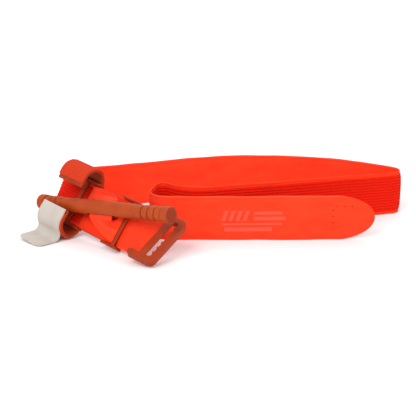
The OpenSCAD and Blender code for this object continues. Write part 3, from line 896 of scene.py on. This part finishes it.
def windlass_rod():
    """The rod, turned from its outline, with its slot cut through."""
    half = rod_profile()
    line = [(r, -z) for r, z in reversed(half[1:])] + half
    around = 72
    rings = []
    for r, z in line:
        a = np.linspace(0, 2 * math.pi, around, endpoint=False)
        rings.append(ROD_FRAME.at(np.column_stack([np.full(around, z), r * np.cos(a), r * np.sin(a)])))
    rod = new_piece("windlass_rod_moulding", np.concatenate(rings), loft_faces(len(rings), around), ROD)
    dress(rod)
    r = ROD_SLOT_H / 2
    half_l = ROD_SLOT_L / 2
    outline = np.concatenate([arc((half_l, 0), r, -90, 90, 15), arc((-half_l, 0), r, 90, 270, 15)])
    deep = 2.5 * ROD_MID_R
    ends = [np.column_stack([outline[:, 0], np.full(len(outline), y), outline[:, 1]]) for y in (-deep, deep)]
    verts = np.concatenate([ROD_FRAME.at(end) for end in ends])
    cutter = dress(new_piece("slot_cutter", verts, loft_faces(2, len(outline)), ROD))
    cut = rod.modifiers.new("slot", "BOOLEAN")
    cut.operation, cut.solver, cut.object = "DIFFERENCE", "EXACT", cutter
    shown = rod.evaluated_get(bpy.context.evaluated_depsgraph_get())
    mesh = bpy.data.meshes.new_from_object(shown)
    rod.modifiers.clear()
    rod.data = mesh
    bpy.data.objects.remove(cutter)
    dress(rod)
    # The end faces get the darker copy of the rod's plastic, as painted shade on the knobs' ends.
    rod.data.materials.append(ROD_END_PAINTED_SHADE)
    for face in rod.data.polygons:
        from_middle = abs(np.dot(np.array(face.center) / MM - SHIFT - ROD_FRAME.origin, ROD_FRAME.a))
        face.material_index = int(from_middle > ROD_L / 2 - 0.35)
    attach(rod, "windlass")
    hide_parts("windlass_rod")


# ---- Clip, plate and keeper --------------------------------------------------

def clip_outline():
    """The clip's section: two hooks, joined under the band by a floor."""
    inner_r = HOOK_R - HOOK_WALL
    foot_angle = math.degrees(math.acos((RAIL_OUT - HOOK_V) / HOOK_R))
    inner_angle = math.degrees(math.acos((FOOT_IN - HOOK_V) / inner_r))
    lip = arc((LIP_V + HOOK_WALL / 2, HOOK_Z + HOOK_R - HOOK_WALL / 2), HOOK_WALL / 2, 270, 90, 30)
    right = np.concatenate([
        lip, arc((HOOK_V, HOOK_Z), HOOK_R, 90, -foot_angle),
        [(RAIL_OUT, UNDER + 0.6), (RAIL_OUT - 0.6, UNDER)]])
    inside = np.concatenate([
        [(FOOT_IN - 0.5, PLATE_TOP), (FOOT_IN, PLATE_TOP + 0.4)],
        arc((HOOK_V, HOOK_Z), inner_r, -inner_angle, 90)])
    flip = np.array([-1, 1])
    return np.concatenate([right, (right * flip)[::-1], inside[::-1] * flip, inside])


def rails(x0, x1):
    """The two side rails that hold the cross bars over the band."""
    return [block(BASE, (x0, v, UNDER), (x1, v + RAIL_OUT - FOOT_IN, BAR_TOP), 0.5)
            for v in (-RAIL_OUT, FOOT_IN)]


def cross_bar(x):
    return block(BASE, (x, -RAIL_OUT + 0.4, BAR_Z), (x + BAR_W, RAIL_OUT - 0.4, BAR_TOP), 0.55)


def windlass_clip():
    parts = [prism(BASE, clip_outline(), CLIP_FAR, CLIP_NEAR, 0.45), cross_bar(CLIP_MID - BAR_W / 2),
             *rails(CLIP_FAR + 0.3, CLIP_NEAR - 0.3)]
    clip = assembled("windlass_clip_moulding", parts, CLIP)
    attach(clip, "base")
    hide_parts("windlass_clip")


def stabiliser_plate():
    parts = [block(BASE, (CLIP_NEAR, -FOOT_IN - 0.3, UNDER), (PLATE_L, FOOT_IN + 0.3, PLATE_TOP), 0.35),
             cross_bar(KEEPER_BAR), *rails(PLATE_L - RAIL_L, PLATE_L)]
    plate = assembled("stabiliser_plate_moulding", parts, CLIP)
    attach(plate, "base")
    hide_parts("stabiliser_plate")


# ---- Buckle and its sleeve ---------------------------------------------------

def buckle_outline():
    """The buckle's U from above: two side rails and the toothed bar, rounded outside."""
    r = BUCKLE_CORNER
    side = BUCKLE_HALF - r
    points = []
    end_r = (BUCKLE_HALF - BUCKLE_INNER) / 2
    end = BUCKLE_HALF - end_r
    corners = (
        (BUCKLE_NEAR + end_r, -end, end_r, 100, 270),
        (BUCKLE_FAR - r, -side, r, 270, 360),
        (BUCKLE_FAR - r, side, r, 0, 90),
        (BUCKLE_NEAR + end_r, end, end_r, 90, 260),
    )
    for x, v, turn_r, a0, a1 in corners:
        points.append(arc((x, v), turn_r, a0, a1, 10))
    teeth = int((2 * BUCKLE_INNER - 6) // TOOTH_PITCH)
    inner = [(TOOTH_BAR_AT - 1.2, BUCKLE_INNER), (TOOTH_BAR_AT, BUCKLE_INNER - 1.2)]
    for i in range(teeth, -1, -1):
        centre = (i - teeth / 2) * TOOTH_PITCH
        inner += [tuple(p) for p in arc((TOOTH_BAR_AT, centre), TOOTH_R, 90, 270, 22.5)]
    inner += [(TOOTH_BAR_AT, -BUCKLE_INNER + 1.2), (TOOTH_BAR_AT - 1.2, -BUCKLE_INNER)]
    return np.concatenate(points + [np.array(inner)])


def buckle():
    frame_ring = prism(BUCKLE, buckle_outline(), -PIN_R, BUCKLE_TOP, 0.55, plane="out")
    bar = block(BUCKLE, (FRICTION_AT, -BUCKLE_INNER - 1, FRICTION_Z),
                (FRICTION_AT + FRICTION_W, BUCKLE_INNER + 1, BUCKLE_TOP), 0.5)
    a = np.radians(np.arange(0, 360, 10))
    ends = [np.column_stack([PIN_R * np.cos(a), np.full(len(a), v), PIN_R * np.sin(a)])
            for v in (-BUCKLE_INNER - 1, BUCKLE_INNER + 1)]
    pin = np.concatenate([BUCKLE.at(end) for end in ends])
    piece = assembled("buckle_moulding", [frame_ring, bar, (pin, loft_faces(2, len(a)))], BUCKLE_PLASTIC)
    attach(piece, "buckle")
    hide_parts("buckle")


def cloth_rings(path, half_at, thick, wrinkle, samples):
    """Rings of a sheet that follows (centre, across, out) frames; wrinkle moves it out, in millimetres."""
    q_out, q_in = np.linspace(-1, 1, samples), np.linspace(1, -1, samples)
    rings, marks, length = [], [], 0.0
    for i, (centre, across, out) in enumerate(path):
        t = i / (len(path) - 1)
        if i:
            length += np.linalg.norm(centre - path[i - 1][0])
        half = half_at(t)
        lift_out = wrinkle(t, q_out)
        lift_in = wrinkle(t, q_in)
        q = np.concatenate([q_out, q_in])
        d = np.concatenate([lift_out + thick / 2, lift_in - thick / 2])
        rings.append(centre + np.outer(q * half, across) + np.outer(d, out))
        side = np.sign(d - np.concatenate([lift_out, lift_in]))
        marks.append(np.column_stack([np.full(len(q), length), q * half, side]))
    return rings, marks, length


def buckle_sleeve():
    """The band's end: over the pin, round it and back, a little gathered between keeper and buckle."""
    lift, reach = 0.62, 6.0
    top = [BASE.at((BASE_NEAR - 2, 0, lift)), None, None, BUCKLE.at((0, 0, SLEEVE_MID))]
    top[1], top[2] = top[0] + (reach + 2) * BASE.a, top[3] - reach * BUCKLE.a
    low = [BUCKLE.at((0, 0, -SLEEVE_MID)), None, None, BASE.at((BASE_NEAR - 2, 0, -lift))]
    low[1], low[2] = low[0] - reach * BUCKLE.a, low[3] + (reach + 2) * BASE.a
    path = []
    for t in np.linspace(0, 1, 18, endpoint=False):
        way = bezier_way(top, t)
        across = square_up((1 - ease(t)) * BASE.c + ease(t) * BUCKLE.c, way)
        path.append((bezier(top, t), across, np.cross(way, across)))
    for a in np.radians(np.linspace(0, 180, 19)):
        out = math.cos(a) * BUCKLE.n + math.sin(a) * BUCKLE.a
        path.append((BUCKLE.at((SLEEVE_MID * math.sin(a), 0, SLEEVE_MID * math.cos(a))), BUCKLE.c, out))
    for t in np.linspace(0, 1, 19)[1:]:
        way = bezier_way(low, t)
        across = square_up((1 - ease(t)) * BUCKLE.c + ease(t) * BASE.c, way)
        path.append((bezier(low, t), across, np.cross(way, across)))

    def gathered(t, q):
        free = math.sin(math.pi * min(1, t / 0.36)) if t < 0.36 else (
            math.sin(math.pi * min(1, (t - 0.64) / 0.36)) if t > 0.64 else 0)
        return 0.6 * free * (np.sin(4.2 * q + 9 * t + 0.6) + 0.5 * np.sin(8.5 * q - 5 * t))

    rings, marks, length = cloth_rings(path, lambda t: SLEEVE_W / 2, SLEEVE_T, gathered, 45)
    sleeve = loft("buckle_sleeve", rings, FACE, marks)
    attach(sleeve, "base")
    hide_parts("buckle_loop")


# ---- Patches, time strap and the bare tension band ---------------------------

def over_hook(sign, verts_of):
    """Points of the upper hook as they are, or mirrored for the lower one."""
    return np.array([[v[0], sign * v[1], v[2]] for v in verts_of])


def hook_patch(name, node, sign):
    start = LIP_V + LIP_BARE
    straight = HOOK_V - start
    sweep = math.radians(90 - PATCH_WRAP)
    total = straight + sweep * PATCH_OUT

    def spot(x, r):
        if x < straight:
            return (start + x, HOOK_Z + r), (0.0, 1.0)
        a = math.pi / 2 - (x - straight) / PATCH_OUT
        return (HOOK_V + r * math.cos(a), HOOK_Z + r * math.sin(a)), (math.cos(a), math.sin(a))

    stations = np.linspace(CLIP_FAR, CLIP_NEAR, 31)
    xs = np.linspace(0, total, 78)
    rings, marks = [], []
    for u in stations:
        ring, mark = [], []
        for x in xs:
            rows = math.sqrt(abs(math.cos(math.pi * x / ROW_PITCH)))
            end = min(1.0, (total - x) / 0.8, x / 0.8,
                      (u - CLIP_FAR) / 0.5 + 0.6, (CLIP_NEAR - u) / 0.5 + 0.6)
            p, _ = spot(x, PATCH_OUT - 0.1 + 0.12 * rows * end - 0.35 * (1 - end))
            ring.append((u, *p))
            mark.append((u, x, 1))
        for x in xs[::-4]:
            p, _ = spot(x, PATCH_IN)
            ring.append((u, *p))
            mark.append((u, x, -1))
        rings.append(BASE.at(over_hook(sign, ring)))
        marks.append(mark)
    patch = loft(name, rings, PATCH, marks)
    dice = np.random.default_rng(7)
    points, way, out = [], [], []
    for r in range(1, int(total / ROW_PITCH) + 1):
        for u in np.arange(CLIP_FAR + 0.8, CLIP_NEAR - 0.5, 1.5):
            x = min(total - 0.5, r * ROW_PITCH + dice.uniform(-0.2, 0.2))
            p, n = spot(x, PATCH_OUT + 0.02)
            points.append((u + dice.uniform(-0.3, 0.3), *p))
            way.append((1.0, 0.4 * dice.uniform(-1, 1) * n[1], 0.0))
            out.append((0.0, *n))
    points, way, out = (over_hook(sign, x) for x in (points, way, out))
    loops = scattered(name + "_tufts", BASE.at(points), BASE.turned(way), BASE.turned(out), (1.3, 0.75, 0.3),
                     0.25, 90, PATCH_BRISTLE)
    for piece in (patch, loops):
        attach(piece, "base")
    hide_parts(node)


# The strap's bend starts at this point of its path, and its free end has round corners.
STRAP_BEND, STRAP_CORNER = 23, 6.0


def strap_path():
    """(across, outward) points and their outward directions, from the lip round the hook to the free end."""
    r = (STRAP_IN + STRAP_OUT) / 2
    start = LIP_V
    path = [((start + t * (HOOK_V - start), HOOK_Z + r), (0.0, 1.0))
            for t in np.linspace(0, 1, 6, endpoint=False)]
    for a in np.radians(np.linspace(90, STRAP_RELEASE, 18)):
        path.append(((HOOK_V + r * math.cos(a), HOOK_Z + r * math.sin(a)), (math.cos(a), math.sin(a))))
    release = math.radians(STRAP_RELEASE)
    leaving = np.array([math.cos(release), math.sin(release)])
    centre = np.array([HOOK_V, HOOK_Z]) + (r + STRAP_BEND_R) * leaving
    for a in np.radians(np.linspace(STRAP_RELEASE + 180, STRAP_RELEASE + 180 + STRAP_TURN, 26)[1:]):
        away = np.array([math.cos(a), math.sin(a)])
        path.append((tuple(centre + STRAP_BEND_R * away), tuple(-away)))
    last, out = path[-1]
    way = np.array([out[1], -out[0]])
    for d in np.linspace(0, STRAP_TAIL, 22)[1:]:
        curl = 0.25 * math.sin(d / 5.0)
        path.append((tuple(np.array(last) + d * way + curl * np.array(out)), out))
    return path


def time_strap():
    path = strap_path()
    mid = CLIP_MID
    rings, marks, length, before = [], [], 0.0, None
    thick = STRAP_OUT - STRAP_IN
    to_end = np.linalg.norm(np.array(path[-1][0]) - np.array([p for p, _ in path]), axis=1)
    for (p, n), left in zip(path, to_end):
        p, n = np.array(p), np.array(n)
        if before is not None:
            length += np.linalg.norm(p - before)
        before = p
        corner = STRAP_CORNER - math.sqrt(STRAP_CORNER ** 2 - max(0.0, STRAP_CORNER - left) ** 2)
        us = mid + np.linspace(1, -1, 26) * (STRAP_W / 2 - corner)
        wave = 0.12 * np.sin(us * 0.55 + length * 0.3)
        outer = [(u, *(p + (thick / 2 + w) * n)) for u, w in zip(us, wave)]
        inner = [(u, *(p + (-thick / 2 + w) * n)) for u, w in zip(us[::-1], wave[::-1])]
        rings.append(BASE.at(over_hook(-1, outer + inner)))
        marks.append([(length, u - mid, 1) for u in us] + [(length, u - mid, -1) for u in us[::-1]])
    strap = loft("time_strap_cloth", rings, CREAM, marks)
    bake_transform(strap)
    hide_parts("time_strap_patch", "time_strap_bend", "time_strap_tail")


def tension_fan(name, side, bar_u, bar_v, phase, replaced=None):
    """The bare tension band, spread from the band by a bar or hook up to the rod's slot.
    side is 1 above the rod and -1 below it; bar_v is the across position of each edge at the bar."""
    turn = math.radians(ROD_ANGLE)
    rod_way = np.array([math.cos(turn), math.sin(turn), 0])
    rod_across = np.array([-math.sin(turn), math.cos(turn), 0])
    lift = np.array([0, 0, 1.0])
    inward = np.array([-math.copysign(1, bar_u), 0, 0])
    q = np.linspace(-1, 1, 49)
    middle = len(q) // 2
    t = np.concatenate([np.linspace(0, 1, 40), 1 + np.linspace(0, 1, 5)[1:]])
    start = np.column_stack([np.full(len(q), bar_u), np.interp(q, (-1, 1), bar_v), np.full(len(q), FAN_LOW)])
    inside = ROD_CENTRE - np.outer(side * FAN_HALF * q, rod_way)
    mouth = inside + side * FAN_EDGE * rod_across
    curve = [start, start + 9 * inward + 0.5 * lift, mouth + side * 5 * rod_across - 2.5 * lift, mouth]
    sheet = np.array([bezier(curve, x) if x <= 1 else mouth + (x - 1) * (inside - mouth) for x in t])
    normal = np.cross(np.gradient(sheet, axis=0), np.gradient(sheet, axis=1))
    normal /= np.linalg.norm(normal, axis=2, keepdims=True)
    normal *= np.sign(normal[10, middle, 2])
    free = np.sin(math.pi * np.clip(t / 0.95, 0, 1))[:, None] ** 0.8
    broad = 0.8 * np.sin(5.2 * q + phase + 1.6 * t[:, None])
    folds = broad + 0.4 * np.sin(10 * q - 2 * phase + 1.1 * t[:, None])
    sheet += (free * folds)[:, :, None] * normal
    thick = 0.4 * normal
    along = np.cumsum(np.linalg.norm(np.diff(sheet[:, middle], axis=0, prepend=sheet[:1, middle]), axis=1))
    rings, marks = [], []
    for line, half, length in zip(sheet, thick, along):
        rings.append(BASE.at(np.concatenate([line + half, (line - half)[::-1]])))
        wide = np.concatenate([q, q[::-1]]) * FAN_HALF
        marks.append(np.column_stack([np.full(len(wide), length), wide, np.repeat([1, -1], len(q))]))
    fan = loft(name, rings, SATIN, marks)
    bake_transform(fan)
    if replaced:
        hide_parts(replaced)


# ---- Studio -----------------------------------------------------------------

def studio():
    floor_mesh = bpy.data.meshes.new("studio_floor")
    reach = 9.0
    corners = [(-reach, -reach, 0), (reach, -reach, 0), (reach, reach, 0), (-reach, reach, 0)]
    floor_mesh.from_pydata(corners, [], [(0, 1, 2, 3)])
    f = Finish("pale_floor", 0.9, specular=0.1)
    f.colour(f.ramp(f.noise(f.place(), 2.0), (0.0, (0.93, 0.93, 0.93, 1)), (1.0, (0.95, 0.95, 0.95, 1))))
    floor_mesh.materials.append(f.material)
    floor = bpy.data.objects.new("studio_floor", floor_mesh)
    bpy.context.scene.collection.objects.link(floor)
    world = bpy.data.worlds.new("studio_world")
    world.use_nodes = True
    background = next(n for n in world.node_tree.nodes if n.type == "BACKGROUND")
    background.inputs[0].default_value = (1, 1, 1, 1)
    background.inputs[1].default_value = 0.75
    bpy.context.scene.world = world
    for name, place, size, power in (("key_light", (-0.7, -1.1, 1.3), 0.9, 16.0),
                                     ("fill_light", (1.0, -0.9, 0.9), 1.0, 7.0),
                                     ("back_light", (0.2, 1.2, 1.2), 1.0, 8.0)):
        data = bpy.data.lights.new(name, "AREA")
        data.energy, data.size = power, size
        light = bpy.data.objects.new(name, data)
        light.location = place
        light.rotation_euler = (Vector((0, 0, 0)) - Vector(place)).to_track_quat("-Z", "Y").to_euler()
        bpy.context.scene.collection.objects.link(light)
    view = bpy.context.scene.view_settings
    view.view_transform = "Standard"


def camera():
    data = bpy.data.cameras.new("camera")
    data.lens, data.sensor_width = 100.57, 36.0
    data.clip_start, data.clip_end = 0.05, 60.0
    camera_object = bpy.data.objects.new("camera", data)
    camera_object.location = (-0.0057, -0.8975, 0.3090)
    camera_object.rotation_euler = (math.radians(72.0), 0, 0)
    bpy.context.scene.collection.objects.link(camera_object)
    bpy.context.scene.camera = camera_object


camera()
studio()
for stretch in range(3):
    band_stretch(stretch)
windlass_rod()
windlass_clip()
stabiliser_plate()
buckle()
buckle_sleeve()
hook_patch("hook_patch_upper_cloth", "hook_patch_upper", 1)
hook_patch("hook_patch_lower_cloth", "hook_patch_lower", -1)
time_strap()
tension_fan("tension_band_upper", 1, CLIP_NEAR - 5.0, (16.8, 0.0), 0.7, "tension_band_twist")
tension_fan("tension_band_lower", -1, KEEPER_BAR - 0.6, (-16.8, 4.5), 2.1)
